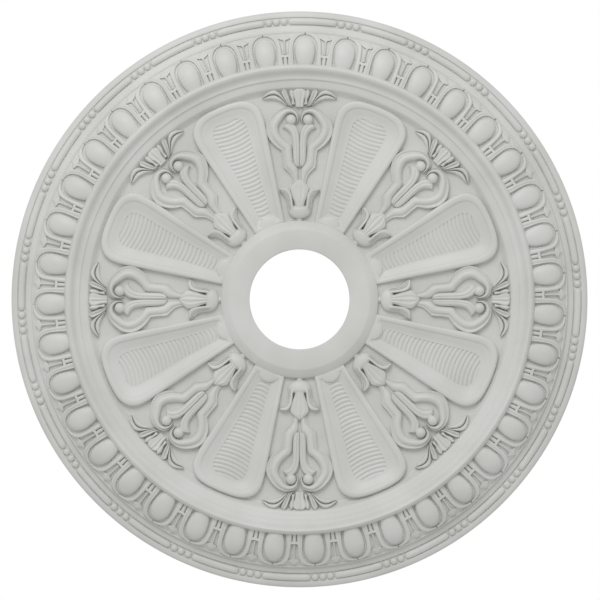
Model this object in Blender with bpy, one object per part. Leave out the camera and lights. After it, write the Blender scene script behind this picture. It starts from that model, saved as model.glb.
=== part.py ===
"""A moulded ceiling rose: one round casting, flat on its back, with a hole for the lamp's flex.

The back lies in the plane z = 0, against the ceiling, and the carved face looks down.
A drop is how far a point of that face hangs below the back. Every band of ornament is
half of one repeat, drawn as ridge and valley lines of stated drop, then mirrored and
copied round the centre. +X is to the right and -Y is up for someone who looks up at it.
"""

import math

import bmesh
import bpy
from mathutils.geometry import delaunay_2d_cdt

# Driving dimensions, in millimetres and degrees. Lines are lists of (across, out, drop).
MM = 0.001
OUTER_RADIUS = 360.0
HOLE_RADIUS = 62.5
HUB_TOP_RADIUS = 87.6
HUB_FOOT_RADIUS = 98.5
HUB_DROP = 30.0
GROUND_DROP = 17.0
RING_CREST_DROP = 40.5
FIELD_OUTER_RADIUS = 264.0
FIELD_EDGE_DROP = 25.0
COVE_FOOT_RADIUS = 257.0

# Counts of the repeats and the turn of the first of each from the -Y direction.
SCROLLS = 8
EGGS = 39
EGG_TURN = 1.23
REELS = 24
REEL_TURN = 2.7
RIM_SEGMENTS = 96
PLAIN_SEGMENTS = 64

# Radii and drops where the bands of ornament meet the plain rings.
BEADS_OUTER_RADIUS = 352.3
BEADS_RADIUS = 347.5
BEADS_INNER_RADIUS = 342.7
BEAD_CREASE_DROP = 9.5
BEAD_TOP_DROP = 13.8
BEAD_TOP_HALF_WIDTH = 1.9
BEAD_TOP_HALF_ANGLE = 0.3
BEAD_PITCH = 1.57
REEL_TOP_DROP = 13.4
REEL_TOP_HALF_WIDTH = 2.2
REEL_TOP_HALF_ANGLE = 4.6
REEL_END_ANGLE = 5.1
EGGS_OUTER_RADIUS = 332.0
EGGS_OUTER_DROP = 16.5
EGGS_INNER_RADIUS = 294.4
EGGS_INNER_DROP = 28.0

# Panel sizes: its side leans out from the panel's own axis as it runs outwards.
PANEL_FOOT_ANGLE = 11.0
PANEL_RIM_INSET = 1.6
PANEL_RIM_DROP = 26.0
PANEL_RIDGE_INSET = 9.5
PANEL_RIDGE_DROP = 24.5
PANEL_BED_DROP = 18.5

# Plain rings, as (radius, drop) from the back edge inwards.
RIM = [(OUTER_RADIUS, 0.0), (OUTER_RADIUS, 7.5), (357.0, 10.0)]
STEP = [(335.0, 12.5), (334.6, 16.0)]
INNER_RING = [(288.6, RING_CREST_DROP), (280.4, 31.0), (274.8, 29.0), (274.3, 27.2)]

TURN = 2 * math.pi
TOUCH = 1e-5
SAME_POINT = 1e-3
SMOOTH_ANGLE = math.radians(32)


def clear_scene():
    for obj in list(bpy.data.objects):
        bpy.data.objects.remove(obj, do_unlink=True)


def painted(name, colour, roughness):
    """A plain satin material."""
    material = bpy.data.materials.new(name)
    material.use_nodes = True
    shader = material.node_tree.nodes["Principled BSDF"]
    shader.inputs["Base Color"].default_value = (*colour, 1.0)
    shader.inputs["Roughness"].default_value = roughness
    shader.inputs["Metallic"].default_value = 0.0
    return material


def arc_point(degrees, radius, drop):
    """A point given by its turn from the half-repeat's first axis."""
    angle = math.radians(degrees)
    return (radius * math.sin(angle), radius * math.cos(angle), drop)


def arc_line(points):
    return [arc_point(*point) for point in points]


def turned(line, degrees):
    """The same line about an axis turned clockwise by so many degrees."""
    angle = math.radians(degrees)
    cos, sin = math.cos(angle), math.sin(angle)
    return [(x * cos + y * sin, y * cos - x * sin, drop) for x, y, drop in line]


def base_drop(x, y):
    """The plain ground's drop: level, then a cove up to the inner ring."""
    rise = (math.hypot(x, y) - COVE_FOOT_RADIUS) / (FIELD_OUTER_RADIUS - COVE_FOOT_RADIUS)
    return GROUND_DROP + max(0.0, rise) * (FIELD_EDGE_DROP - GROUND_DROP)


def on_ground(points):
    return [(x, y, base_drop(x, y)) for x, y in points]


def inset(points, distance, drop):
    """The points of an open outline moved sideways, to its right where positive."""
    moved = []
    for number, (x, y) in enumerate(points):
        before = points[max(number - 1, 0)]
        after = points[min(number + 1, len(points) - 1)]
        along_x, along_y = after[0] - before[0], after[1] - before[1]
        length = math.hypot(along_x, along_y)
        moved.append((x + distance * along_y / length, y - distance * along_x / length, drop))
    return moved


def closed(line):
    return line + line[:1]


def bead_lines():
    """From a reel's middle, on the first axis, to the middle bead of three, on the second."""
    half = 180 / REELS
    side_bead = half - BEAD_PITCH
    between = half - BEAD_PITCH / 2
    top = BEAD_TOP_HALF_ANGLE
    bead_out, bead_in = BEADS_RADIUS + BEAD_TOP_HALF_WIDTH, BEADS_RADIUS - BEAD_TOP_HALF_WIDTH
    reel_out, reel_in = BEADS_RADIUS + REEL_TOP_HALF_WIDTH, BEADS_RADIUS - REEL_TOP_HALF_WIDTH
    creases = [[(angle, radius, BEAD_CREASE_DROP) for angle in (0, REEL_END_ANGLE, between, half)]
               for radius in (BEADS_OUTER_RADIUS, BEADS_INNER_RADIUS)]
    reel = [(0, reel_out, REEL_TOP_DROP), (REEL_TOP_HALF_ANGLE, reel_out, REEL_TOP_DROP),
            (REEL_TOP_HALF_ANGLE, reel_in, REEL_TOP_DROP), (0, reel_in, REEL_TOP_DROP)]
    middle = [(half, bead_out, BEAD_TOP_DROP), (half - top, bead_out, BEAD_TOP_DROP),
              (half - top, bead_in, BEAD_TOP_DROP), (half, bead_in, BEAD_TOP_DROP)]
    corners = ((top, bead_out), (-top, bead_out), (-top, bead_in), (top, bead_in))
    side = closed([(side_bead + turn, radius, BEAD_TOP_DROP) for turn, radius in corners])
    gaps = [[(angle, radius, BEAD_CREASE_DROP) for radius in (BEADS_OUTER_RADIUS, BEADS_RADIUS, BEADS_INNER_RADIUS)]
            for angle in (REEL_END_ANGLE, between)]
    lines = creases + [reel, middle, side] + gaps
    return [arc_line(line) for line in lines]


def egg_lines():
    """From an egg's middle, on the first axis, to a dart's middle, on the second."""
    half = 180 / EGGS
    outer, inner = EGGS_OUTER_RADIUS, EGGS_INNER_RADIUS
    egg = [(0, 328.3, 17.0), (1.45, 325, 18.0), (2.35, 313, 23.5), (2.1, 296.8, 28.0), (2.1, inner, EGGS_INNER_DROP)]
    dome = [(0, 320.5, 26.0), (1.2, 318, 25.0), (1.45, 301, 32.0), (0, 299, 33.5)]
    shell = [(0, 330.6, 18.6), (1.75, 328.4, 19.5), (2.95, 320, 24.0), (3.38, 309, 29.0),
             (3.38, 297, 31.5), (3.4, inner, EGGS_INNER_DROP)]
    dart_side = [(3.4, 326.5, 19.0), (3.9, 304, 27.0)]
    lines = [
        [(0, outer, EGGS_OUTER_DROP), (half, outer, EGGS_OUTER_DROP)],
        [(0, inner, EGGS_INNER_DROP), (2.1, inner, EGGS_INNER_DROP), (3.4, inner, EGGS_INNER_DROP),
         (half, inner, EGGS_INNER_DROP)],
        egg, dome, shell, dart_side,
        [(half, 331, 18.2), (half, 324.5, 24.0), (half, 306, 29.8), (half, 301, 28.5)],
    ]
    return [arc_line(line) for line in lines]


def panel_lines():
    """Half a reeded panel, about the second axis: steep wall, rolled border, sunk bed."""
    foot = [(-43.8, 215.0), (-45.6, 236.0), (-41.5, 247.0), (-31.3, 256.3), (0, 259.6)]
    hub_end = arc_point(-PANEL_FOOT_ANGLE, HUB_FOOT_RADIUS, GROUND_DROP)
    side = [hub_end[:2]] + foot
    rim = inset(side, PANEL_RIM_INSET, PANEL_RIM_DROP)
    ridge = inset(side, PANEL_RIDGE_INSET, PANEL_RIDGE_DROP)
    ridge[0] = (-12.5, 103.5, PANEL_RIDGE_DROP)
    ridge[-1] = (0, foot[-1][1] - PANEL_RIDGE_INSET, PANEL_RIDGE_DROP)
    rim[0] = (-17.6, 100.6, PANEL_RIM_DROP - 1)
    rim[-1] = (0, foot[-1][1] - PANEL_RIM_INSET, PANEL_RIM_DROP)
    hub_rim = [rim[0], (-9.5, 102.2, 25.0), (0, 102.6, 25.0)]
    bed = [(0, 111.8, PANEL_BED_DROP), (-7.2, 109.6, PANEL_BED_DROP), (-13.1, 168.9, PANEL_BED_DROP),
           (-21.4, 224.0, PANEL_BED_DROP), (-17.5, 236.0, PANEL_BED_DROP), (0, 240.2, PANEL_BED_DROP)]
    lines = [on_ground(side), rim, ridge, hub_rim, bed]
    return [turned(line, 180 / SCROLLS) for line in lines]


def scroll_lines():
    """Half of the pair of C-scrolls that stand back to back, with the stem between them."""
    outer = [(8.6, 146.6), (11.6, 156.0), (20.2, 164.5), (22.3, 184.0), (31.0, 191.8), (37.5, 200.2),
             (40.3, 213.6), (35.5, 228.4), (27.4, 236.0), (16.1, 240.2), (5.3, 238.6), (0, 235.4)]
    rim = inset(outer, -1.8, 24.0)[4:-2]
    roll = [(7.2, 152.0, 21.5), (15.0, 168.5, 25.0), (15.4, 188.0, 25.5), (31.0, 203.0, 26.5), (32.0, 214.5, 26.5),
            (25.0, 226.0, 26.5), (11.0, 233.3, 26.0), (3.0, 230.5, 26.0), (1.6, 223.5, 25.0), (4.6, 217.6, 25.0)]
    inner = [(9.9, 193.4), (17.8, 198.4), (24.6, 206.2), (26.0, 214.0), (20.4, 222.4), (21.5, 214.2)]
    eye = [(10.6 + 4.8 * math.sin(step * TURN / 4), 224.5 + 4.8 * math.cos(step * TURN / 4), 29.0) for step in range(4)]
    stem_back = [(21.5, 214.2), (11.4, 206.0), (9.9, 193.4)]
    valley = [(9.9, 193.4, GROUND_DROP), (8.6, 174.0, 20.5), (2.2, 163.5, 19.0)]
    crest = [(4.4, 176.0, 25.5), (4.6, 197.0, 25.5), (9.0, 209.0, 25.0), (16.5, 215.0, 24.0)]
    under = [(4.6, 217.6, 25.0), (10.6, 216.6, 21.5), (20.4, 222.4, GROUND_DROP)]
    axis = [(0, 153.5, 22.0), (0, 174.0, 21.5), (0, 207.0, 21.0), (0, 216.5, GROUND_DROP), (0, 227.5, 22.5),
            (0, 235.4, GROUND_DROP)]
    return [on_ground(outer), rim, roll, on_ground(inner), closed(eye), on_ground(stem_back), valley, crest, under,
            axis]


def tulip_lines():
    """Half the tulip whose neck rises from the hub."""
    outline = [(8.6, 146.6), (11.8, 139.6), (20.0, 139.9), (25.4, 137.1), (19.6, 131.0), (15.6, 113.0),
               (6.6, 103.0), (4.6, 99.6)]
    side_petal = [(21.5, 137.6, 22.5), (16.0, 132.5, 25.0), (9.5, 111.0, 27.0)]
    fold = [(11.8, 139.6, GROUND_DROP), (7.6, 120.5, 21.0)]
    central = [(0, 149.0, 20.0), (0, 143.0, 24.0), (0, 110.0, 28.5), (0, 99.6, 22.0)]
    return [on_ground(outline), side_petal, fold, central]


def leaf_lines():
    """Half the leaf fan that stands on the volutes and reaches up the cove."""
    outline = [(0, 248.5), (5.3, 238.6)]
    edge = [(16.1, 240.2), (23.8, 246.0), (47.0, 250.2), (44.0, 255.4), (36.0, 258.8), (27.0, 257.4),
            (20.4, 261.6), (9.4, 259.4), (0, 262.4)]
    lobe = [(0, 252.0, 26.0), (0, 259.4, 27.5)]
    lobe_side = [(6.4, 257.2, 26.5), (5.0, 247.0, 24.0)]
    fold = [(9.4, 259.4, base_drop(9.4, 259.4)), (9.2, 247.0, 21.0)]
    finger = [(19.0, 258.4, 26.5), (12.5, 246.0, 24.5)]
    sickle = [(21.0, 250.5, 26.0), (37.5, 256.0, 26.0)]
    crease = [(18.0, 243.5, 21.0), (35.5, 252.6, 21.5)]
    return [on_ground(outline), on_ground(edge), lobe, lobe_side, fold, finger, sickle, crease]


def cove_lines():
    """The cove's foot, which shows between the leaf's tip and the panel's corner."""
    leaf_tip = (47.0, 250.2, GROUND_DROP)
    corner = turned([(-31.3, 256.3, GROUND_DROP)], 180 / SCROLLS)[0]
    return [[leaf_tip, arc_point(12.9, COVE_FOOT_RADIUS, GROUND_DROP), corner]]


def field_lines():
    """Everything between the hub and the inner ring, from a scroll's axis to a panel's."""
    half = 180 / SCROLLS
    steps = PLAIN_SEGMENTS // (2 * SCROLLS)
    outer = [(half * step / steps, FIELD_OUTER_RADIUS, FIELD_EDGE_DROP) for step in range(steps + 1)]
    inner = [(angle, HUB_FOOT_RADIUS, GROUND_DROP) for angle in (0, 5.5, half - PANEL_FOOT_ANGLE, 17.0, half)]
    edges = [arc_line(outer), arc_line(inner)]
    return edges + scroll_lines() + tulip_lines() + leaf_lines() + panel_lines() + cove_lines()


def triangulated(lines, inner_radius):
    """The lines' points and the triangles between them, none of which crosses a line."""
    points, edges = [], []
    for line in lines:
        numbers = []
        for point in line:
            near = [n for n, other in enumerate(points) if math.dist(point[:2], other[:2]) < SAME_POINT]
            if not near:
                points.append(point)
            numbers.append(near[0] if near else len(points) - 1)
        edges += zip(numbers, numbers[1:])
    flat, _, faces, sources, _, _ = delaunay_2d_cdt([point[:2] for point in points], edges, [], 0, 1e-7)
    crossings = [spot for spot, source in zip(flat, sources) if not source]
    if crossings:
        raise ValueError(f"lines cross at {crossings}")
    points = [points[source[0]] for source in sources]

    def kept(face):
        (ax, ay, _), (bx, by, _), (cx, cy, _) = (points[n] for n in face)
        area = abs((bx - ax) * (cy - ay) - (cx - ax) * (by - ay))
        inside_hub = all(math.hypot(*points[n][:2]) < inner_radius + SAME_POINT for n in face)
        return area > SAME_POINT and not inside_hub

    return points, [face for face in faces if kept(face)]


def add_band(mesh, lines, repeats, first_turn, inner_radius):
    """Copies the half-repeat, as it is and mirrored, round the centre."""
    points, faces = triangulated(lines, inner_radius)
    for repeat in range(repeats):
        angle = math.radians(first_turn) + TURN * repeat / repeats
        cos, sin = math.cos(angle), math.sin(angle)
        for side in (1, -1):
            verts = [
                mesh.verts.new(((side * x * cos + y * sin) * MM, (side * x * sin - y * cos) * MM, -drop * MM))
                for x, y, drop in points
            ]
            for face in faces:
                mesh.faces.new([verts[n] for n in face])


def turn_of(vert):
    """How far a vertex is turned clockwise from the -Y direction."""
    return round(math.atan2(vert.co.x, -vert.co.y), 7) % TURN


def open_edge(mesh, radius):
    """The vertices of a band's open edge at this radius, in order of turn."""
    found = [v for v in mesh.verts if v.is_boundary and abs(v.co.xy.length - radius * MM) < TOUCH]
    return sorted(found, key=turn_of)


def ring(mesh, radius, drop, segments):
    verts = []
    for number in range(segments):
        x, y, _ = arc_point(360 * number / segments, radius, drop)
        verts.append(mesh.verts.new((x * MM, -y * MM, -drop * MM)))
    return verts


def stitch(mesh, first, second):
    """Joins two loops round the centre by a strip of triangles, whatever their counts."""
    first_turns = [turn_of(v) for v in first] + [turn_of(first[0]) + TURN]
    second_turns = [turn_of(v) for v in second] + [turn_of(second[0]) + TURN]
    first_ring, second_ring = closed(first), closed(second)
    i, j = 0, 0
    while i < len(first) or j < len(second):
        last_of_second = j == len(second)
        if last_of_second or (i < len(first) and first_turns[i + 1] <= second_turns[j + 1]):
            mesh.faces.new((first_ring[i], second_ring[j], first_ring[i + 1]))
            i += 1
        else:
            mesh.faces.new((first_ring[i], second_ring[j], second_ring[j + 1]))
            j += 1


def stitch_all(mesh, loops):
    for first, second in zip(loops, loops[1:]):
        stitch(mesh, first, second)


def rings(mesh, profile, segments=PLAIN_SEGMENTS):
    return [ring(mesh, radius, drop, segments) for radius, drop in profile]


def ceiling_rose_mesh():
    """The whole casting, from the back edge across the carved face to the hole and back."""
    mesh = bmesh.new()
    add_band(mesh, bead_lines(), REELS, REEL_TURN, 0)
    add_band(mesh, egg_lines(), EGGS, EGG_TURN, 0)
    add_band(mesh, field_lines(), SCROLLS, 0, HUB_FOOT_RADIUS)
    bmesh.ops.remove_doubles(mesh, verts=mesh.verts[:], dist=TOUCH)
    beads = (open_edge(mesh, BEADS_OUTER_RADIUS), open_edge(mesh, BEADS_INNER_RADIUS))
    eggs = (open_edge(mesh, EGGS_OUTER_RADIUS), open_edge(mesh, EGGS_INNER_RADIUS))
    field = (open_edge(mesh, FIELD_OUTER_RADIUS), open_edge(mesh, HUB_FOOT_RADIUS))
    hub = rings(mesh, [(HUB_TOP_RADIUS, HUB_DROP), (HOLE_RADIUS, HUB_DROP), (HOLE_RADIUS, 0.0)])
    rim = rings(mesh, RIM, RIM_SEGMENTS)
    stitch_all(mesh, rim + [beads[0]])
    stitch_all(mesh, [beads[1]] + rings(mesh, STEP) + [eggs[0]])
    stitch_all(mesh, [eggs[1]] + rings(mesh, INNER_RING) + [field[0]])
    stitch_all(mesh, [field[1]] + hub + [rim[0]])
    bmesh.ops.recalc_face_normals(mesh, faces=mesh.faces[:])
    return mesh


def make_ceiling_rose():
    mesh = ceiling_rose_mesh()
    data = bpy.data.meshes.new("ceiling_rose")
    mesh.to_mesh(data)
    mesh.free()
    data.materials.append(painted("primed_urethane", (0.62, 0.62, 0.60), 0.5))
    data.shade_smooth()
    data.set_sharp_from_angle(angle=SMOOTH_ANGLE)
    rose = bpy.data.objects.new("ceiling_rose", data)
    bpy.context.scene.collection.objects.link(rose)
    return rose


clear_scene()
make_ceiling_rose()
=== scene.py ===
"""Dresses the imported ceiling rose: one moulded casting of rigid urethane foam under white primer.

The casting's rings are turned from one section and every ornament is a carved strip, bowl or sheet
that stands on them. Plans are in millimetres, as (across, out) from the rose's centre for an
ornament on the -Y axis. A drop is how far a point hangs below the flat back.
"""
import logging
import math
from collections.abc import Callable
from dataclasses import dataclass, field
from enum import Enum

import bpy
from mathutils import Matrix, Vector


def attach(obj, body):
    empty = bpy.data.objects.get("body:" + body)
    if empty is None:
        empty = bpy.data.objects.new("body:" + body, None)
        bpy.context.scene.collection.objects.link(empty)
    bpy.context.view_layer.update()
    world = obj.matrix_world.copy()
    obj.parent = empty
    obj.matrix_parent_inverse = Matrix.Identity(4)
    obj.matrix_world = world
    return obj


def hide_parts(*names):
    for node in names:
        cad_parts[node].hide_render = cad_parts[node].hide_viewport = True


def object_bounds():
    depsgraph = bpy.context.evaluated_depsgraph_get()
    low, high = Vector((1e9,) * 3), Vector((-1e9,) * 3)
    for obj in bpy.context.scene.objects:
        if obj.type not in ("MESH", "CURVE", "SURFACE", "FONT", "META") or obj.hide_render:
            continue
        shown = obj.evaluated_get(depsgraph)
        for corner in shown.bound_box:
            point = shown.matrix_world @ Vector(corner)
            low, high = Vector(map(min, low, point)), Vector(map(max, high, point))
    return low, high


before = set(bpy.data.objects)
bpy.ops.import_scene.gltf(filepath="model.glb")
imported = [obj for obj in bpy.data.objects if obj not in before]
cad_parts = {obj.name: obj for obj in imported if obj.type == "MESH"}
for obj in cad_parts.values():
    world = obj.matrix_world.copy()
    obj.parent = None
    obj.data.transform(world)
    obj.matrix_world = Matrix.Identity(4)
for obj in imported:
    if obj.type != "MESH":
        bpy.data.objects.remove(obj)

LOG = logging.getLogger("ceiling_rose")
NODE = "ceiling_rose"
BODY = "root"
CAD_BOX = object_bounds()
MM = 0.001
TURN = 2 * math.pi
SMOOTH_ANGLE = math.radians(38)
MERGE = 1e-6

Point = tuple[float, float]
Ground = Callable[[float, float], float]
Section = list[tuple[float, float]]
Row = list[Vector]

OUTER_RADIUS = (CAD_BOX[1][0] - CAD_BOX[0][0]) / 2 / MM
HOLE_RADIUS = 62.5
HUB_DROP = 30.0
GROUND_DROP = 17.0
COVE_TOP = (264.6, 25.4)
COVE_FOOT_RADIUS = 255.5
EGGS_OUTER = (332.2, 16.8)
EGGS_INNER = (294.4, 28.0)


class Closing(Enum):
    """How the open edge of a carved form is closed inside the casting."""

    CAP = "one outline, filled by one face"
    RING = "an outer and an inner outline, bridged"


@dataclass(frozen=True)
class Station:
    """One cross-cut of a carved strip: its two edges, its crest's drop and where its quirk lies."""

    left: Point
    right: Point
    crest: float
    quirk: float = 0.4

    def numbers(self) -> tuple[float, ...]:
        """The station as plain numbers, to be smoothed."""
        return (*self.left, *self.right, self.crest, self.quirk)


def stations(rows: list[tuple], quirk: float = 0.4) -> list[Station]:
    """Stations from rows of left edge, right edge, crest drop and, where it varies, quirk."""
    return [Station(*row) if len(row) > 3 else Station(*row, quirk) for row in rows]


def between(values: list[tuple[float, ...]], place: float) -> tuple[float, ...]:
    """Reads a smooth curve through the values.

    Args:
        values: Knots of the curve, each a tuple of numbers.
        place: Where to read it, 0 at the first knot and 1 more at each next one.

    Returns:
        The numbers at that place.
    """
    last = len(values) - 1
    index = min(int(place), last - 1)
    step = place - index
    a, b, c, d = (values[min(max(index + shift, 0), last)] for shift in (-1, 0, 1, 2))
    return tuple(
        q + 0.5 * step * (r - p + step * (2 * p - 5 * q + 4 * r - s + step * (3 * (q - r) + s - p)))
        for p, q, r, s in zip(a, b, c, d)
    )


def smoothed(run: list[Station], steps: int) -> list[Station]:
    """The stations of one run with so many steps from each to the next."""
    knots = [station.numbers() for station in run]
    rows = [between(knots, number / steps) for number in range((len(run) - 1) * steps + 1)]
    return [Station(row[0:2], row[2:4], row[4], row[5]) for row in rows]


def place(x: float, y: float, drop: float) -> Vector:
    """A point of the plan, hung at its drop, in metres."""
    return Vector((x, -y, -drop)) * MM


def field_ground(x: float, y: float) -> float:
    """The plain ground of the field: level, then a cove that rises to the ring round it."""
    rise = (math.hypot(x, y) - COVE_FOOT_RADIUS) / (COVE_TOP[0] - COVE_FOOT_RADIUS)
    rise = min(max(rise, 0.0), 1.0)
    return GROUND_DROP + (COVE_TOP[1] - GROUND_DROP) * rise * rise * (1.6 - 0.6 * rise)


def egg_ground(x: float, y: float) -> float:
    """The ovolo under the egg row: nearly level by the ring, steeper towards the rim."""
    fullness = 0.95
    out = (math.hypot(x, y) - EGGS_INNER[0]) / (EGGS_OUTER[0] - EGGS_INNER[0])
    out = min(max(out, -0.2), 1.0) * fullness
    fall = (1 - math.sqrt(1 - out * out)) / (1 - math.sqrt(1 - fullness * fullness))
    return EGGS_INNER[1] - (EGGS_INNER[1] - EGGS_OUTER[1]) * fall


def bead_ground(x: float, y: float) -> float:
    """The floor of the channel that the beads lie in."""
    return 9.4


def half_round(steps: int, wall: float = 0.0) -> Section:
    """A rounded section that starts on upright walls of the given share of its height."""
    arc = [(0.5 - 0.5 * math.cos(math.pi * n / steps), math.sin(math.pi * n / steps)) for n in range(steps + 1)]
    return [(0.0, 0.0)] + [(across, wall + (1 - wall) * rise) for across, rise in arc] + [(1.0, 0.0)]


def deselect_all() -> None:
    """Leaves object mode with nothing selected."""
    if bpy.context.mode != "OBJECT":
        bpy.ops.object.mode_set(mode="OBJECT")
    bpy.ops.object.select_all(action="DESELECT")


def activate(obj: bpy.types.Object) -> None:
    """Makes this the only selected object."""
    deselect_all()
    obj.select_set(True)
    bpy.context.view_layer.objects.active = obj


def lay_points(obj: bpy.types.Object, points: list[Vector]) -> None:
    """Moves a mesh's vertices, in their order, to these points."""
    obj.data.vertices.foreach_set("co", [number for point in points for number in point])
    obj.data.update()


def tidy_faces(obj: bpy.types.Object) -> None:
    """Merges doubles, then turns every face outwards."""
    activate(obj)
    bpy.ops.object.mode_set(mode="EDIT")
    bpy.ops.mesh.select_all(action="SELECT")
    bpy.ops.mesh.remove_doubles(threshold=MERGE)
    bpy.ops.mesh.normals_make_consistent(inside=False)
    bpy.ops.object.mode_set(mode="OBJECT")


def carved_sheet(name: str, rows: list[Row], root_drop: float, closing: Closing = Closing.CAP) -> bpy.types.Object:
    """Lays a grid on rows of points, and draws its edge up into the casting to close it.

    Args:
        name: What the piece is called.
        rows: The rows of points, all of one length, across the form from end to end.
        root_drop: The drop of the flat face that closes the form, inside the casting.
        closing: Whether the form has one outline or is a ring with two.

    Returns:
        The closed form, with its faces outwards.
    """
    deselect_all()
    bpy.ops.mesh.primitive_grid_add(x_subdivisions=len(rows[0]) - 1, y_subdivisions=len(rows) - 1, size=1)
    sheet = bpy.context.object
    sheet.name = name
    lay_points(sheet, [point for row in rows for point in row])
    bpy.ops.object.mode_set(mode="EDIT")
    bpy.ops.mesh.select_mode(type="EDGE")
    bpy.ops.mesh.select_all(action="SELECT")
    bpy.ops.mesh.remove_doubles(threshold=MERGE)
    bpy.ops.mesh.select_all(action="SELECT")
    bpy.ops.mesh.region_to_loop()
    bpy.ops.mesh.extrude_edges_move()
    bpy.ops.transform.resize(value=(1, 1, 0), center_override=(0, 0, -root_drop * MM))
    if closing is Closing.RING:
        bpy.ops.mesh.bridge_edge_loops()
    else:
        bpy.ops.mesh.edge_face_add()
    bpy.ops.mesh.select_mode(type="VERT")
    bpy.ops.object.mode_set(mode="OBJECT")
    tidy_faces(sheet)
    return sheet


def carved_strip(
    name: str, runs: list[list[Station]], section: Section, ground: Ground, root_drop: float, steps: int = 5
) -> bpy.types.Object:
    """A carved strip whose section is drawn between two edges, as a moulding bends and tapers.

    Args:
        name: What the strip is called.
        runs: Its stations, smooth within a run, with a corner between one run and the next.
        section: Its section as (share across, share of the crest's height), with the quirk at 0.4.
        ground: The drop of the casting under a point.
        root_drop: The drop at which it is closed inside the casting.
        steps: Rows from each station to the next.

    Returns:
        The closed strip.
    """
    rows = []
    for run in runs:
        for cut in smoothed(run, steps):
            row = []
            for share, rise in section:
                across = share / 0.4 * cut.quirk if share < 0.4 else 1 - (1 - share) / 0.6 * (1 - cut.quirk)
                x = cut.left[0] + (cut.right[0] - cut.left[0]) * across
                y = cut.left[1] + (cut.right[1] - cut.left[1]) * across
                low = ground(x, y)
                row.append(place(x, y, low + rise * (cut.crest - low)))
            rows.append(row)
    return carved_sheet(name, rows, root_drop)


@dataclass(frozen=True)
class Oval:
    """An oval boss: its middle, half-width, its reach outwards and inwards, and its height."""

    middle: Point
    half_width: float
    reach_out: float
    reach_in: float
    height: float
    fullness: float = 1.0


def boss(name: str, oval: Oval, ground: Ground, segments: int = 24, rings: int = 12) -> bpy.types.Object:
    """A rounded boss, made from a ball cut off flat where it goes into the casting.

    Args:
        name: What the boss is called.
        oval: Its plan and height.
        ground: The drop of the casting under a point.
        segments: Faces round it.
        rings: Faces from pole to pole of the ball it is cut from.

    Returns:
        The closed boss.
    """
    deselect_all()
    bpy.ops.mesh.primitive_uv_sphere_add(segments=segments, ring_count=rings, radius=1)
    ball = bpy.context.object
    ball.name = name
    bpy.ops.object.mode_set(mode="EDIT")
    bpy.ops.mesh.select_all(action="SELECT")
    bpy.ops.mesh.bisect(plane_co=(0, 0, -0.02), plane_no=(0, 0, 1), clear_inner=True, use_fill=True)
    bpy.ops.object.mode_set(mode="OBJECT")
    points = []
    for vertex in ball.data.vertices:
        across, out, up = vertex.co
        x = oval.middle[0] + oval.half_width * across
        y = oval.middle[1] + out * (oval.reach_out if out > 0 else oval.reach_in)
        rise = oval.height * max(up, 0) ** oval.fullness if up > 0 else -1.5
        points.append(place(x, y, ground(x, y) + rise))
    lay_points(ball, points)
    tidy_faces(ball)
    return ball


def mirrored(obj: bpy.types.Object) -> bpy.types.Object:
    """The form and its mirror image across the ornament's own axis, as one mesh."""
    activate(obj)
    modifier = obj.modifiers.new("other_half", "MIRROR")
    modifier.use_axis = (True, False, False)
    modifier.use_mirror_merge = False
    bpy.ops.object.modifier_apply(modifier=modifier.name)
    tidy_faces(obj)
    return obj


def joined(name: str, parts: list[bpy.types.Object]) -> bpy.types.Object:
    """Makes one object of several and names it."""
    deselect_all()
    for part in parts:
        part.select_set(True)
    bpy.context.view_layer.objects.active = parts[0]
    if len(parts) > 1:
        bpy.ops.object.join()
    parts[0].name = name
    parts[0].data.name = name
    return parts[0]


def copied_round(obj: bpy.types.Object, repeats: int, first_turn: float) -> bpy.types.Object:
    """Turns an ornament to the first place of its row and copies it round the centre.

    Args:
        obj: The ornament, modelled on the -Y axis.
        repeats: How many stand in the full circle.
        first_turn: Degrees from the -Y axis to the first, towards +X.

    Returns:
        The same object, which now holds the whole row.
    """
    obj.data.transform(Matrix.Rotation(math.radians(first_turn), 4, "Z"))
    activate(obj)
    bpy.ops.object.mode_set(mode="EDIT")
    bpy.ops.mesh.select_all(action="SELECT")
    for _ in range(repeats - 1):
        bpy.ops.mesh.duplicate()
        bpy.ops.transform.rotate(value=TURN / repeats, orient_axis="Z", center_override=(0, 0, 0))
    bpy.ops.object.mode_set(mode="OBJECT")
    return obj


def linear(colour: str) -> tuple[float, float, float, float]:
    """An sRGB hex colour as linear numbers with full opacity."""
    shares = [int(colour[start:start + 2], 16) / 255 for start in (1, 3, 5)]
    return (*(c / 12.92 if c <= 0.04045 else ((c + 0.055) / 1.055) ** 2.4 for c in shares), 1.0)


def add_node(
    tree: bpy.types.NodeTree, kind: str, values: dict | None = None, links: dict | None = None, **settings: object
) -> bpy.types.Node:
    """Adds one node.

    Args:
        tree: The node tree it goes into.
        kind: The node's type.
        values: Numbers and colours for its inputs, by name or place.
        links: Outputs to join to its inputs, by name or place.
        settings: The node's own settings.

    Returns:
        The new node.
    """
    node = tree.nodes.new(kind)
    for name, value in settings.items():
        setattr(node, name, value)
    for socket, value in (values or {}).items():
        node.inputs[socket].default_value = value
    for socket, output in (links or {}).items():
        tree.links.new(output, node.inputs[socket])
    return node


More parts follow.
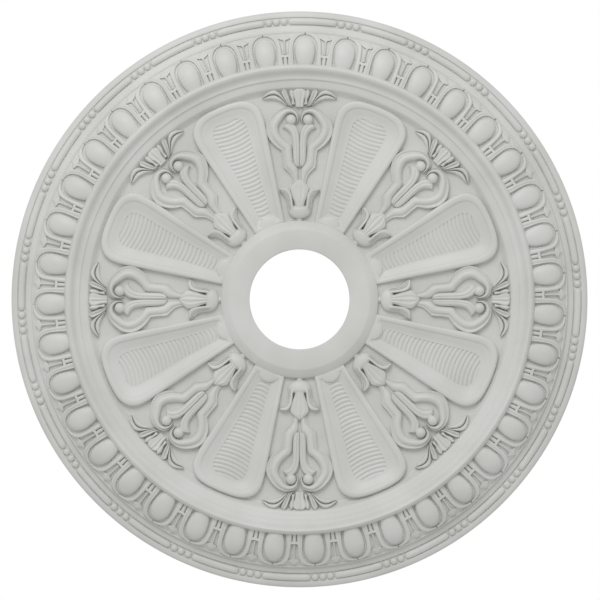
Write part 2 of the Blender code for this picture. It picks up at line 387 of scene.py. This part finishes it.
@dataclass(frozen=True)
class PrimedUrethane:
    """Rigid urethane foam, cast in a mould and sprayed with white primer before it is sold.

    The mould gives an even, closed skin and the primer a soft satin sheen. To the eye it is a
    nearly neutral pale grey that clouds very slightly where the spray lay thicker.
    """

    name: str = "primed_urethane"
    colour: str = "#E3E3E1"
    cloud_colour: str = "#DADAD7"
    roughness: float = 0.46
    cloud_mm: float = 70.0
    grain_mm: float = 1.4
    grain_depth_mm: float = 0.05

    def material(self) -> bpy.types.Material:
        """Builds the material, with clouds in the colour and a fine grain in the surface."""
        material = bpy.data.materials.new(self.name)
        material.use_nodes = True
        tree = material.node_tree
        shader = tree.nodes["Principled BSDF"]
        shader.inputs["IOR"].default_value = 1.5
        place_of = add_node(tree, "ShaderNodeTexCoord").outputs["Object"]
        clouds = add_node(
            tree, "ShaderNodeTexNoise", {"Scale": 1 / (self.cloud_mm * MM), "Detail": 3.0}, {"Vector": place_of}
        )
        tones = add_node(tree, "ShaderNodeValToRGB", links={"Fac": clouds.outputs["Fac"]})
        tones.color_ramp.elements[0].position = 0.35
        tones.color_ramp.elements[0].color = linear(self.cloud_colour)
        tones.color_ramp.elements[1].position = 0.65
        tones.color_ramp.elements[1].color = linear(self.colour)
        tree.links.new(tones.outputs["Color"], shader.inputs["Base Color"])
        grain = add_node(
            tree, "ShaderNodeTexNoise", {"Scale": 1 / (self.grain_mm * MM), "Detail": 2.0}, {"Vector": place_of}
        )
        sheen = add_node(
            tree, "ShaderNodeMapRange",
            {"To Min": self.roughness - 0.05, "To Max": self.roughness + 0.05}, {"Value": grain.outputs["Fac"]},
        )
        tree.links.new(sheen.outputs["Result"], shader.inputs["Roughness"])
        bump = add_node(
            tree, "ShaderNodeBump", {"Strength": 0.6, "Distance": self.grain_depth_mm * MM},
            {"Height": grain.outputs["Fac"]},
        )
        tree.links.new(bump.outputs["Normal"], shader.inputs["Normal"])
        return material


@dataclass
class Casting:
    """The turned body that carries the ornament: rim, rings, cove, ground, hub, hole and flat back."""

    steps: int = 360
    rim: list[Point] = field(default_factory=lambda: [
        (359.4, 0.0), (360.0, 0.6), (360.0, 7.0), (359.5, 8.4), (358.4, 9.6), (356.8, 10.3), (353.2, 10.9),
        (352.7, 10.8), (352.3, 9.4), (342.7, 9.4), (342.2, 11.3), (341.6, 11.8), (336.2, 12.3), (335.4, 12.4),
        (335.0, 12.9), (334.9, 16.1), (334.6, 17.0), (333.9, 17.5), (333.0, 17.3),
    ])
    ring: list[Point] = field(default_factory=lambda: [
        (293.9, 28.4), (293.4, 33.5), (292.4, 37.2), (290.9, 39.6), (288.9, 40.5), (286.9, 40.0), (285.0, 38.2),
        (283.4, 35.6), (281.6, 32.9), (279.4, 31.1), (276.9, 30.4), (275.0, 30.3), (274.6, 30.0), (274.3, 28.3),
        (273.8, 28.0), (269.0, 26.8), (265.2, 25.8),
    ])
    hub: list[Point] = field(default_factory=lambda: [
        (98.3, 17.2), (98.2, 22.6), (97.8, 23.1), (93.0, 26.4), (88.4, 29.6), (87.6, 29.9), (86.6, 30.0),
        (64.2, 30.0), (63.0, 29.6), (62.5, 28.6), (62.5, 0.6), (63.1, 0.0),
    ])

    def section(self) -> list[Point]:
        """The whole section as (radius, drop), from the back's outer edge across the face to the hole."""
        eggs = [EGGS_OUTER[0] + (EGGS_INNER[0] - EGGS_OUTER[0]) * n / 10 for n in range(11)]
        cove = [COVE_TOP[0] + (COVE_FOOT_RADIUS - COVE_TOP[0]) * n / 8 for n in range(9)]
        return (
            self.rim + [(radius, egg_ground(0, radius)) for radius in eggs] + self.ring
            + [(radius, field_ground(0, radius)) for radius in cove] + [(180.0, GROUND_DROP)] + self.hub
        )

    def model(self) -> bpy.types.Object:
        """Spins the section, which starts as a circle's points, once round the axis."""
        outline = self.section()
        deselect_all()
        bpy.ops.mesh.primitive_circle_add(vertices=len(outline), radius=OUTER_RADIUS * MM)
        body = bpy.context.object
        lay_points(body, [place(0, radius, drop) for radius, drop in outline])
        bpy.ops.object.mode_set(mode="EDIT")
        bpy.ops.mesh.select_all(action="SELECT")
        bpy.ops.mesh.spin(steps=self.steps, angle=TURN, center=(0, 0, 0), axis=(0, 0, 1))
        bpy.ops.object.mode_set(mode="OBJECT")
        tidy_faces(body)
        return joined("casting", [body])


@dataclass
class BeadAndReel:
    """The rim's row: long half-round reels with three beads between one reel and the next."""

    repeats: int = 24
    first_turn: float = 2.7
    radius: float = 347.5
    reel_half_angle: float = 5.1
    reel_half_width: float = 4.3
    reel_top: float = 13.5
    bead_pitch: float = 1.57
    bead_radius: float = 4.7
    bead_height: float = 4.6
    root_drop: float = 5.0

    def reel(self) -> bpy.types.Object:
        """One reel, bent round the rim, with rounded ends."""
        steps = 16
        rows = []
        for number in range(steps + 1):
            share = -1 + 2 * number / steps
            angle = self.reel_half_angle * math.sin(share * math.pi / 2)
            reach = (self.reel_half_angle - abs(angle)) * math.radians(self.radius)
            fullness = math.sqrt(max(0.0, 1 - (1 - min(reach / self.reel_half_width, 1.0)) ** 2))
            rows.append(self.cut(angle, fullness))
        return carved_sheet("reel", rows, self.root_drop)

    def cut(self, angle: float, fullness: float) -> Row:
        """One cross-cut of the reel, full in the middle and shrinking to nothing at its ends."""
        turn = math.radians(angle)
        row = []
        for share, rise in half_round(8, 0.15):
            radius = self.radius + (share - 0.5) * 2 * self.reel_half_width * fullness
            x, y = radius * math.sin(turn), radius * math.cos(turn)
            low = bead_ground(x, y)
            row.append(place(x, y, low + rise * fullness * (self.reel_top - low)))
        return row

    def beads(self) -> list[bpy.types.Object]:
        """The three beads that follow the reel."""
        made = []
        for number in (-1, 0, 1):
            turn = math.radians(180 / self.repeats + number * self.bead_pitch)
            middle = (self.radius * math.sin(turn), self.radius * math.cos(turn))
            oval = Oval(middle, self.bead_radius, self.bead_radius, self.bead_radius, self.bead_height)
            made.append(boss("bead", oval, bead_ground, 16, 10))
        return made

    def model(self) -> bpy.types.Object:
        """The whole row."""
        group = joined("bead_and_reel", [self.reel()] + self.beads())
        return copied_round(group, self.repeats, self.first_turn)


@dataclass
class EggAndDart:
    """The ovolo's enrichment: eggs in their shells, with a dart between one shell and the next."""

    repeats: int = 39
    first_turn: float = 1.23
    egg: Oval = Oval((0.0, 312.0), 12.95, 16.2, 27.5, 8.6, 0.62)
    root_drop: float = 11.0
    shell_section: Section = field(default_factory=lambda: [
        (0.0, 0.0), (0.02, 0.5), (0.08, 0.8), (0.2, 0.96), (0.35, 1.0), (0.55, 0.9), (0.72, 0.78), (0.8, 0.86),
        (0.9, 0.95), (0.96, 0.8), (1.0, 0.4), (1.0, 0.0),
    ])
    shell: list[tuple] = field(default_factory=lambda: [
        ((20.8, 291.0), (12.8, 291.0), 5.2), ((21.0, 300.2), (13.8, 300.2), 5.0),
        ((20.9, 307.7), (14.6, 307.7), 4.8), ((20.6, 314.0), (14.9, 313.3), 4.6),
        ((20.3, 320.2), (14.3, 319.0), 4.4), ((18.8, 325.5), (12.4, 324.0), 4.2),
        ((15.3, 329.5), (9.0, 328.0), 4.0), ((9.3, 332.2), (4.9, 330.0), 3.6),
        ((0.0, 333.4), (0.0, 330.8), 3.4),
    ])
    dart_head: list[tuple] = field(default_factory=lambda: [
        ((-0.5, 331.8), (0.5, 331.8), 3.4), ((-4.3, 328.9), (4.3, 328.9), 3.6), ((-8.2, 326.0), (8.2, 326.0), 3.4),
    ])
    dart_rib: list[tuple] = field(default_factory=lambda: [
        ((-8.2, 326.0), (8.2, 326.0), 3.4), ((-5.0, 324.8), (5.0, 324.8), 3.8),
        ((-1.5, 323.2), (1.5, 323.2), 4.4), ((-1.1, 318.0), (1.1, 318.0), 4.6), ((-1.1, 309.0), (1.1, 309.0), 4.8),
        ((-1.7, 306.3), (1.7, 306.3), 4.8),
    ])
    dart_foot: list[tuple] = field(default_factory=lambda: [
        ((-5.4, 305.6), (5.4, 305.6), 4.4), ((-5.4, 302.4), (5.4, 302.4), 4.4),
    ])
    dart_leg: list[tuple] = field(default_factory=lambda: [
        ((-2.4, 303.6), (2.4, 303.6), 4.4), ((-2.4, 291.0), (2.4, 291.0), 4.4),
    ])

    def raised(self, rows: list[tuple]) -> list[Station]:
        """Stations whose crests are given as heights above the ovolo."""
        made = []
        for left, right, height in rows:
            middle = ((left[0] + right[0]) / 2, (left[1] + right[1]) / 2)
            made.append(Station(left, right, egg_ground(*middle) + height))
        return made

    def eggs(self) -> bpy.types.Object:
        """The row of eggs, whose inner ends run in under the ring."""
        egg = boss("eggs", self.egg, egg_ground, 32, 20)
        return copied_round(joined("eggs", [egg]), self.repeats, self.first_turn)

    def shells(self) -> bpy.types.Object:
        """The row of shells that stand round the eggs."""
        half = carved_strip("shells", [self.raised(self.shell)], self.shell_section, egg_ground, self.root_drop, 4)
        return copied_round(joined("egg_shells", [mirrored(half)]), self.repeats, self.first_turn)

    def darts(self) -> bpy.types.Object:
        """The row of darts, each with its tent-like head, its rib and its foot."""
        section = half_round(6, 0.45)
        flat = [(0.0, 0.0), (0.0, 0.85), (0.04, 1.0), (0.5, 1.0), (0.96, 1.0), (1.0, 0.85), (1.0, 0.0)]
        parts = [
            carved_strip("head", [self.raised(self.dart_head), self.raised(self.dart_rib)], section, egg_ground,
                         self.root_drop, 3),
            carved_strip("foot", [self.raised(self.dart_foot)], flat, egg_ground, self.root_drop, 1),
            carved_strip("leg", [self.raised(self.dart_leg)], section, egg_ground, self.root_drop, 3),
        ]
        return copied_round(joined("darts", parts), self.repeats, self.first_turn + 180 / self.repeats)


@dataclass
class ReededPanel:
    """A long panel that widens outwards: a steep wall, a broad rolled border and a sunk reeded bed."""

    repeats: int = 8
    first_turn: float = 22.5
    reeds: int = 25
    reed_height: float = 1.5
    bed_drop: float = 17.9
    root_drop: float = 10.0
    border: Section = field(default_factory=lambda: [
        (0.0, 0.0), (0.012, 0.6), (0.03, 0.8), (0.06, 0.92), (0.11, 0.98), (0.18, 1.0), (0.27, 0.98),
        (0.35, 0.92), (0.4, 0.85), (0.43, 0.74), (0.46, 0.68), (0.5, 0.65), (0.6, 0.56), (0.72, 0.44),
        (0.85, 0.33), (0.95, 0.29), (1.0, 0.28), (1.0, 0.0),
    ])
    outer_half: list[tuple] = field(default_factory=lambda: [
        [(0.0, 96.0, 23.0), (10.0, 96.0, 23.0), (19.8, 95.6, 23.0)],
        [(19.8, 95.6, 23.0), (23.9, 117.0, 24.8), (31.0, 152.6, 26.0), (38.1, 188.0, 26.2), (43.4, 215.0, 26.2)],
        [(43.4, 215.0, 26.2), (45.4, 228.0, 26.2), (45.2, 238.5, 26.2), (41.2, 247.8, 26.2), (32.0, 255.2, 26.2),
         (18.0, 258.8, 26.2), (0.0, 259.8, 26.2)],
    ])
    inner_half: list[tuple] = field(default_factory=lambda: [
        [(0.0, 111.0), (3.6, 112.0), (6.9, 113.6)],
        [(6.9, 113.6), (8.7, 127.0), (11.4, 152.6), (15.8, 184.0), (20.3, 212.0)],
        [(20.3, 212.0), (21.6, 222.0), (21.5, 229.0), (19.2, 234.8), (14.0, 238.4), (7.5, 240.0), (0.0, 240.4)],
    ])
    lunette: Oval = Oval((0.0, 98.0), 13.4, 13.2, 4.0, 6.3, 0.25)

    def outline(self) -> list[tuple[tuple[float, ...], tuple[float, ...]]]:
        """Pairs of outer and inner border points, once round the panel."""
        half = []
        for outer_run, inner_run, steps in zip(self.outer_half, self.inner_half, (6, 24, 30)):
            for number in range(steps + 1):
                share = number / steps
                outer = between(outer_run, share * (len(outer_run) - 1))
                inner = between(inner_run, share * (len(inner_run) - 1))
                half.append((outer, inner))
        other = [((-outer[0], *outer[1:]), (-inner[0], inner[1])) for outer, inner in reversed(half)]
        return half + other

    def borders(self) -> bpy.types.Object:
        """All the panels' borders, each a closed ring."""
        rows = []
        for outer, inner in self.outline():
            row = []
            for share, rise in self.border:
                x = outer[0] + (inner[0] - outer[0]) * share
                y = outer[1] + (inner[1] - outer[1]) * share
                row.append(place(x, y, GROUND_DROP + rise * (outer[2] - GROUND_DROP)))
            rows.append(row)
        ring = carved_sheet("panel_borders", rows, self.root_drop, Closing.RING)
        lunette = boss("lunette", self.lunette, field_ground, 40, 16)
        return copied_round(joined("panel_borders", [ring, lunette]), self.repeats, self.first_turn)

    def half_width(self, y: float) -> float:
        """Half the bed's width, a little more than shows, at this distance out."""
        knots = [(106.0, 6.0), (113.6, 7.4), (127.0, 9.2), (152.6, 11.9), (184.0, 16.3), (212.0, 20.8), (222.0, 22.1),
                 (242.0, 22.3)]
        for (low, narrow), (high, wide) in zip(knots, knots[1:]):
            if y <= high:
                return narrow + (wide - narrow) * max(0.0, (y - low) / (high - low))
        return knots[-1][1]

    def beds(self) -> bpy.types.Object:
        """All the reeded beds, each one sheet of half-round reeds that sag towards the hub."""
        first, last, steps = 107.0, 242.0, 6
        rows = []
        for number in range(self.reeds * steps + 1):
            share = number / (self.reeds * steps)
            middle = first + (last - first) * share ** 0.97
            rise = abs(math.sin(math.pi * number / steps)) ** 0.8 * self.reed_height
            sag = 1.4 + 3.0 * share ** 3
            width = self.half_width(middle)
            row = []
            for column in range(13):
                across = -1 + column / 6
                row.append(place(across * width, middle + sag * across ** 2, self.bed_drop + rise))
            rows.append(row)
        bed = carved_sheet("panel_reeds", rows, self.root_drop)
        return copied_round(joined("panel_reeds", [bed]), self.repeats, self.first_turn)


@dataclass
class ScrollOrnament:
    """Two C-scrolls back to back, whose arms curl over into eyes, with a forked stem between them."""

    repeats: int = 8
    turn: float = 0.0
    root_drop: float = 10.0
    arm_section: Section = field(default_factory=lambda: [
        (0.0, 0.0), (0.0, 0.62), (0.03, 0.74), (0.08, 0.8), (0.14, 0.77), (0.2, 0.66), (0.28, 0.62), (0.34, 0.68),
        (0.38, 0.76), (0.4, 0.74), (0.43, 0.84), (0.5, 0.94), (0.6, 1.0), (0.7, 0.99), (0.8, 0.91), (0.9, 0.74),
        (0.96, 0.56), (1.0, 0.36), (1.0, 0.0),
    ])
    stem_section: Section = field(default_factory=lambda: [
        (0.0, 0.0), (0.0, 0.62), (0.06, 0.8), (0.16, 0.92), (0.28, 0.96), (0.36, 0.93), (0.4, 0.88), (0.44, 0.93),
        (0.54, 1.0), (0.68, 0.98), (0.82, 0.85), (0.93, 0.62), (1.0, 0.34), (1.0, 0.0),
    ])
    foot: list[tuple] = field(default_factory=lambda: [
        ((8.3, 145.1), (1.1, 147.6), 21.5, 0.3), ((9.1, 150.6), (1.5, 152.0), 22.0, 0.3),
        ((11.5, 155.9), (1.6, 157.6), 22.5, 0.28), ((15.8, 160.6), (1.9, 162.6), 23.5, 0.26),
        ((20.0, 164.6), (3.6, 166.6), 24.0, 0.25),
    ])
    shank: list[tuple] = field(default_factory=lambda: [
        ((20.0, 164.6), (3.6, 166.6), 24.0, 0.25), ((20.9, 170.1), (7.0, 170.9), 24.3, 0.25),
        ((21.1, 176.4), (8.3, 176.4), 24.5, 0.26), ((21.9, 181.4), (8.9, 182.6), 24.5, 0.27),
        ((22.5, 185.9), (9.3, 189.1), 24.7, 0.28),
    ])
    sweep: list[tuple] = field(default_factory=lambda: [
        ((22.5, 185.9), (9.3, 189.1), 24.7, 0.28), ((27.5, 189.1), (10.8, 192.9), 25.0, 0.3),
        ((33.0, 193.6), (15.3, 196.3), 25.5, 0.33), ((38.0, 199.9), (20.3, 200.9), 26.0, 0.36),
        ((41.3, 207.1), (24.3, 206.4), 26.3, 0.38), ((41.9, 214.4), (26.4, 212.6), 26.5, 0.38),
        ((40.0, 221.4), (25.5, 218.2), 26.5, 0.38), ((35.5, 228.4), (22.0, 223.4), 26.5, 0.36),
        ((29.0, 234.9), (19.1, 227.9), 26.5, 0.34), ((21.5, 238.8), (15.6, 231.3), 26.3, 0.32),
        ((13.8, 239.8), (11.4, 232.5), 26.0, 0.3), ((6.5, 237.9), (7.1, 230.9), 25.6, 0.3),
        ((2.4, 233.9), (5.1, 228.3), 25.3, 0.3), ((1.0, 229.2), (4.1, 226.2), 25.0, 0.3),
        ((0.9, 224.4), (3.8, 223.7), 24.6, 0.3), ((2.4, 220.2), (4.3, 220.9), 23.5, 0.3),
    ])
    stem: list[tuple] = field(default_factory=lambda: [
        ((0.0, 165.1), (0.1, 165.1), 21.5), ((0.0, 168.1), (5.3, 167.1), 24.5),
        ((0.0, 172.6), (7.8, 172.4), 25.3), ((0.0, 181.4), (8.6, 181.4), 25.5),
        ((0.0, 192.6), (8.9, 192.6), 25.5), ((0.3, 202.6), (9.8, 200.9), 25.5),
        ((2.0, 210.9), (11.5, 206.3), 25.5), ((5.0, 216.7), (14.5, 209.9), 25.3),
        ((10.3, 220.2), (17.8, 212.4), 25.0), ((15.8, 219.4), (20.0, 213.6), 24.0),
        ((20.5, 215.0), (21.3, 213.6), 20.5),
    ])
    eye: Oval = Oval((10.6, 224.5), 6.6, 6.6, 6.9, 12.0, 0.5)

    def model(self) -> bpy.types.Object:
        """All the scroll ornaments."""
        arm_runs = [stations(run) for run in (self.foot, self.shank, self.sweep)]
        parts = [
            carved_strip("arm", arm_runs, self.arm_section, field_ground, self.root_drop),
            carved_strip("stem", [stations(self.stem)], self.stem_section, field_ground, self.root_drop),
            boss("eye", self.eye, field_ground, 32, 20),
        ]
        pair = [mirrored(part) for part in parts]
        return copied_round(joined("scrolls", pair), self.repeats, self.turn)


@dataclass
class LeafFan:
    """The leaves over the volutes: a middle lobe and, on each side, two fingers and a long sickle."""

    repeats: int = 8
    turn: float = 0.0
    root_drop: float = 10.0
    lobe: list[tuple] = field(default_factory=lambda: [
        ((-3.3, 262.7), (3.3, 262.7), 25.5), ((-7.0, 261.1), (7.0, 261.1), 27.0),
        ((-9.0, 257.9), (9.0, 257.9), 27.3), ((-8.3, 253.9), (8.3, 253.9), 26.8),
        ((-6.5, 249.7), (6.5, 249.7), 26.0), ((-5.5, 244.7), (5.5, 244.7), 25.2),
        ((-5.3, 240.4), (5.3, 240.4), 24.5),
    ])
    small_finger: list[tuple] = field(default_factory=lambda: [
        ((9.0, 261.4), (11.3, 261.7), 26.8), ((7.1, 258.2), (13.1, 258.2), 27.0),
        ((7.0, 253.4), (12.0, 253.4), 26.5), ((6.5, 248.2), (9.9, 249.2), 26.0),
        ((5.3, 243.4), (10.5, 243.4), 25.0),
    ])
    broad_finger: list[tuple] = field(default_factory=lambda: [
        ((19.3, 262.9), (20.3, 262.4), 26.0), ((15.8, 259.2), (22.9, 258.4), 27.0),
        ((13.6, 253.9), (21.3, 254.2), 27.0), ((12.0, 249.2), (19.0, 249.7), 26.5),
        ((10.5, 244.2), (15.8, 245.2), 25.5), ((8.0, 240.7), (13.0, 241.9), 24.5),
    ])
    sickle: list[tuple] = field(default_factory=lambda: [
        ((46.9, 251.2), (46.7, 250.7), 22.0), ((44.2, 254.8), (43.0, 252.2), 24.5),
        ((39.0, 258.8), (38.3, 254.8), 26.0), ((32.3, 260.8), (32.1, 255.8), 26.5),
        ((26.8, 258.9), (26.3, 253.8), 26.8), ((22.0, 254.2), (21.0, 249.2), 26.0),
        ((17.0, 246.7), (16.5, 243.9), 24.5), ((13.3, 242.4), (13.0, 241.4), 22.0),
    ])
    sickle_lip: list[tuple] = field(default_factory=lambda: [
        ((46.5, 250.9), (46.7, 250.3), 21.0), ((43.0, 251.9), (41.9, 249.4), 23.0),
        ((38.0, 254.2), (37.3, 249.8), 24.0), ((31.9, 255.1), (31.8, 249.4), 24.2),
        ((25.9, 252.9), (25.3, 247.4), 24.2), ((20.5, 248.2), (20.0, 244.7), 23.8),
        ((16.0, 243.2), (15.8, 241.4), 22.5),
    ])
    lobe_section: Section = field(default_factory=lambda: [
        (0.0, 0.0), (0.0, 0.5), (0.05, 0.75), (0.14, 0.88), (0.25, 0.86), (0.36, 0.8), (0.44, 0.92), (0.5, 1.0),
        (0.56, 0.92), (0.64, 0.8), (0.75, 0.86), (0.86, 0.88), (0.95, 0.75), (1.0, 0.5), (1.0, 0.0),
    ])
    finger_section: Section = field(default_factory=lambda: [
        (0.0, 0.0), (0.0, 0.5), (0.06, 0.8), (0.16, 0.96), (0.3, 0.92), (0.42, 0.76), (0.5, 0.68), (0.58, 0.76),
        (0.7, 0.92), (0.84, 0.96), (0.94, 0.8), (1.0, 0.5), (1.0, 0.0),
    ])

    def model(self) -> bpy.types.Object:
        """All the leaf fans."""
        round_section = half_round(8, 0.4)
        lobe = carved_strip("lobe", [stations(self.lobe)], self.lobe_section, field_ground, self.root_drop)
        halves = [
            carved_strip("small_finger", [stations(self.small_finger)], round_section, field_ground, self.root_drop),
            carved_strip("broad_finger", [stations(self.broad_finger)], self.finger_section, field_ground,
                         self.root_drop),
            carved_strip("sickle", [stations(self.sickle)], round_section, field_ground, self.root_drop),
            carved_strip("sickle_lip", [stations(self.sickle_lip)], round_section, field_ground, self.root_drop),
        ]
        return copied_round(joined("leaf_fans", [lobe] + [mirrored(half) for half in halves]), self.repeats, self.turn)


@dataclass
class Tulip:
    """The bud whose neck rises from the hub: a bulb, two curling side petals and a ribbed middle one."""

    repeats: int = 8
    turn: float = 0.0
    root_drop: float = 10.0
    bulb: Oval = Oval((0.0, 112.0), 15.0, 6.0, 11.6, 11.6, 0.6)
    neck: list[tuple] = field(default_factory=lambda: [
        ((-4.2, 97.0), (4.2, 97.0), 22.0), ((-4.2, 105.0), (4.2, 105.0), 22.5),
    ])
    side_petal: list[tuple] = field(default_factory=lambda: [
        ((25.0, 135.5), (25.1, 136.2), 22.0), ((24.0, 133.7), (23.6, 138.1), 24.5),
        ((21.8, 131.2), (19.4, 138.8), 26.0), ((19.6, 128.6), (15.1, 138.3), 26.8),
        ((17.9, 125.6), (12.1, 135.8), 27.2), ((16.6, 122.1), (10.0, 130.8), 27.4),
        ((15.9, 118.1), (8.9, 125.3), 27.6), ((15.4, 114.1), (8.4, 120.6), 27.8),
        ((14.4, 109.8), (7.9, 116.6), 28.0), ((12.4, 106.1), (6.1, 113.1), 27.6),
    ])
    middle_petal: list[tuple] = field(default_factory=lambda: [
        ((-0.8, 150.4), (0.8, 150.4), 22.5), ((-3.8, 148.1), (3.8, 148.1), 24.5),
        ((-6.8, 145.7), (6.8, 145.7), 25.5), ((-9.3, 142.8), (9.3, 142.8), 26.0),
        ((-11.6, 138.6), (11.6, 138.6), 26.0), ((-10.8, 133.1), (10.8, 133.1), 26.3),
        ((-9.0, 127.1), (9.0, 127.1), 27.0), ((-7.0, 122.3), (7.0, 122.3), 27.6),
        ((-5.8, 118.3), (5.8, 118.3), 28.0), ((-5.3, 113.8), (5.3, 113.8), 28.3),
    ])
    side_section: Section = field(default_factory=lambda: [
        (0.0, 0.0), (0.0, 0.2), (0.06, 0.46), (0.16, 0.68), (0.26, 0.8), (0.32, 0.7), (0.38, 0.84), (0.46, 0.92),
        (0.54, 0.8), (0.6, 0.94), (0.72, 1.0), (0.86, 1.0), (0.95, 0.92), (1.0, 0.7), (1.0, 0.0),
    ])

    def middle_section(self) -> Section:
        """The middle petal's section: gently round, with fine ribs drawn down it."""
        section = [(0.0, 0.0), (0.0, 0.6)]
        steps = 36
        for number in range(1, steps):
            share = number / steps
            round_off = math.sin(math.pi * share) ** 0.3
            rib = 0.05 * math.cos(TURN * 3.5 * (share - 0.5))
            section.append((share, 0.6 + 0.36 * round_off + rib * round_off))
        return section + [(1.0, 0.6), (1.0, 0.0)]

    def model(self) -> bpy.types.Object:
        """All the tulips."""
        parts = [
            boss("bulb", self.bulb, field_ground, 40, 20),
            carved_strip("neck", [stations(self.neck)], half_round(8), field_ground, self.root_drop),
            mirrored(carved_strip("side_petal", [stations(self.side_petal)], self.side_section, field_ground,
                                  self.root_drop)),
            carved_strip("middle_petal", [stations(self.middle_petal)], self.middle_section(), field_ground,
                         self.root_drop),
        ]
        return copied_round(joined("tulips", parts), self.repeats, self.turn)


@dataclass
class Studio:
    """The plain pale floor, the soft lights and the camera that looks straight up at the rose."""

    camera_distance: float = 10.0
    frame_width: float = 0.7506
    sensor_mm: float = 36.0
    aim: Point = (0.0006, 0.0008)
    floor_drop: float = 15.0
    floor_size: float = 40.0
    floor_colour: str = "#E6E6E4"
    ambient: float = 0.6
    key_power: float = 34.0
    key_distance: float = 3.2
    key_size: float = 1.6
    key_lean: float = math.radians(36)
    key_turn: float = math.radians(-15)

    def add_camera(self) -> None:
        """A long lens on the rose's axis, with -Y up in the picture."""
        camera = bpy.data.objects.new("camera", bpy.data.cameras.new("camera"))
        bpy.context.scene.collection.objects.link(camera)
        camera.data.sensor_width = self.sensor_mm
        camera.data.lens = self.sensor_mm * self.camera_distance / self.frame_width
        camera.data.clip_end = 200.0
        camera.location = (*self.aim, -self.camera_distance)
        camera.rotation_euler = Matrix(((1, 0, 0), (0, -1, 0), (0, 0, -1))).to_euler()
        bpy.context.scene.camera = camera

    def add_floor(self) -> None:
        """A floor far enough below for any camera to stand over it."""
        deselect_all()
        bpy.ops.mesh.primitive_plane_add(size=self.floor_size, location=(0, 0, -self.floor_drop))
        floor = bpy.context.object
        floor.name = "floor"
        material = bpy.data.materials.new("painted_floor")
        material.use_nodes = True
        shader = material.node_tree.nodes["Principled BSDF"]
        shader.inputs["Base Color"].default_value = linear(self.floor_colour)
        shader.inputs["Roughness"].default_value = 0.8
        floor.data.materials.append(material)

    def add_lights(self) -> None:
        """Even light from all round and one large soft light from above and a little left."""
        world = bpy.data.worlds.new("studio")
        world.use_nodes = True
        tree = world.node_tree
        tree.nodes.clear()
        soft = add_node(tree, "ShaderNodeBackground", {"Color": (1, 1, 1, 1), "Strength": self.ambient})
        white = add_node(tree, "ShaderNodeBackground", {"Color": (1, 1, 1, 1), "Strength": 1.0})
        seen = add_node(tree, "ShaderNodeLightPath").outputs["Is Camera Ray"]
        mix = add_node(tree, "ShaderNodeMixShader", links={0: seen, 1: soft.outputs[0], 2: white.outputs[0]})
        add_node(tree, "ShaderNodeOutputWorld", links={"Surface": mix.outputs[0]})
        bpy.context.scene.world = world
        key = bpy.data.objects.new("key_light", bpy.data.lights.new("key_light", "AREA"))
        bpy.context.scene.collection.objects.link(key)
        key.data.energy = self.key_power
        key.data.size = self.key_size
        key.visible_camera = False
        lean, turn = math.sin(self.key_lean), self.key_turn
        direction = Vector((lean * math.sin(turn), -lean * math.cos(turn), -math.cos(self.key_lean)))
        key.location = direction * self.key_distance
        key.rotation_euler = (-direction).to_track_quat("-Z", "Y").to_euler()

    def build(self) -> None:
        """Sets the whole stage."""
        bpy.context.scene.view_settings.view_transform = "Standard"
        self.add_camera()
        self.add_floor()
        self.add_lights()


def dress(piece: bpy.types.Object, material: bpy.types.Material) -> None:
    """Gives a finished piece its material and shading and hangs it on the rose's one body."""
    piece.data.materials.clear()
    piece.data.materials.append(material)
    activate(piece)
    bpy.ops.object.shade_smooth_by_angle(angle=SMOOTH_ANGLE)
    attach(piece, BODY)
    piece.data.calc_loop_triangles()
    LOG.info("%s: %d triangles", piece.name, len(piece.data.loop_triangles))


def main() -> None:
    """Builds every piece, dresses it, and sets the stage."""
    logging.basicConfig(level=logging.INFO, format="%(name)s %(message)s")
    finish = PrimedUrethane().material()
    eggs = EggAndDart()
    panels = ReededPanel()
    casting = Casting().model()
    pieces = [
        casting, BeadAndReel().model(), eggs.eggs(), eggs.shells(), eggs.darts(), panels.borders(), panels.beds(),
        ScrollOrnament().model(), LeafFan().model(), Tulip().model(),
    ]
    for piece in pieces:
        dress(piece, finish)
    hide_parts(NODE)
    Studio().build()


if __name__ == "__main__":
    main()
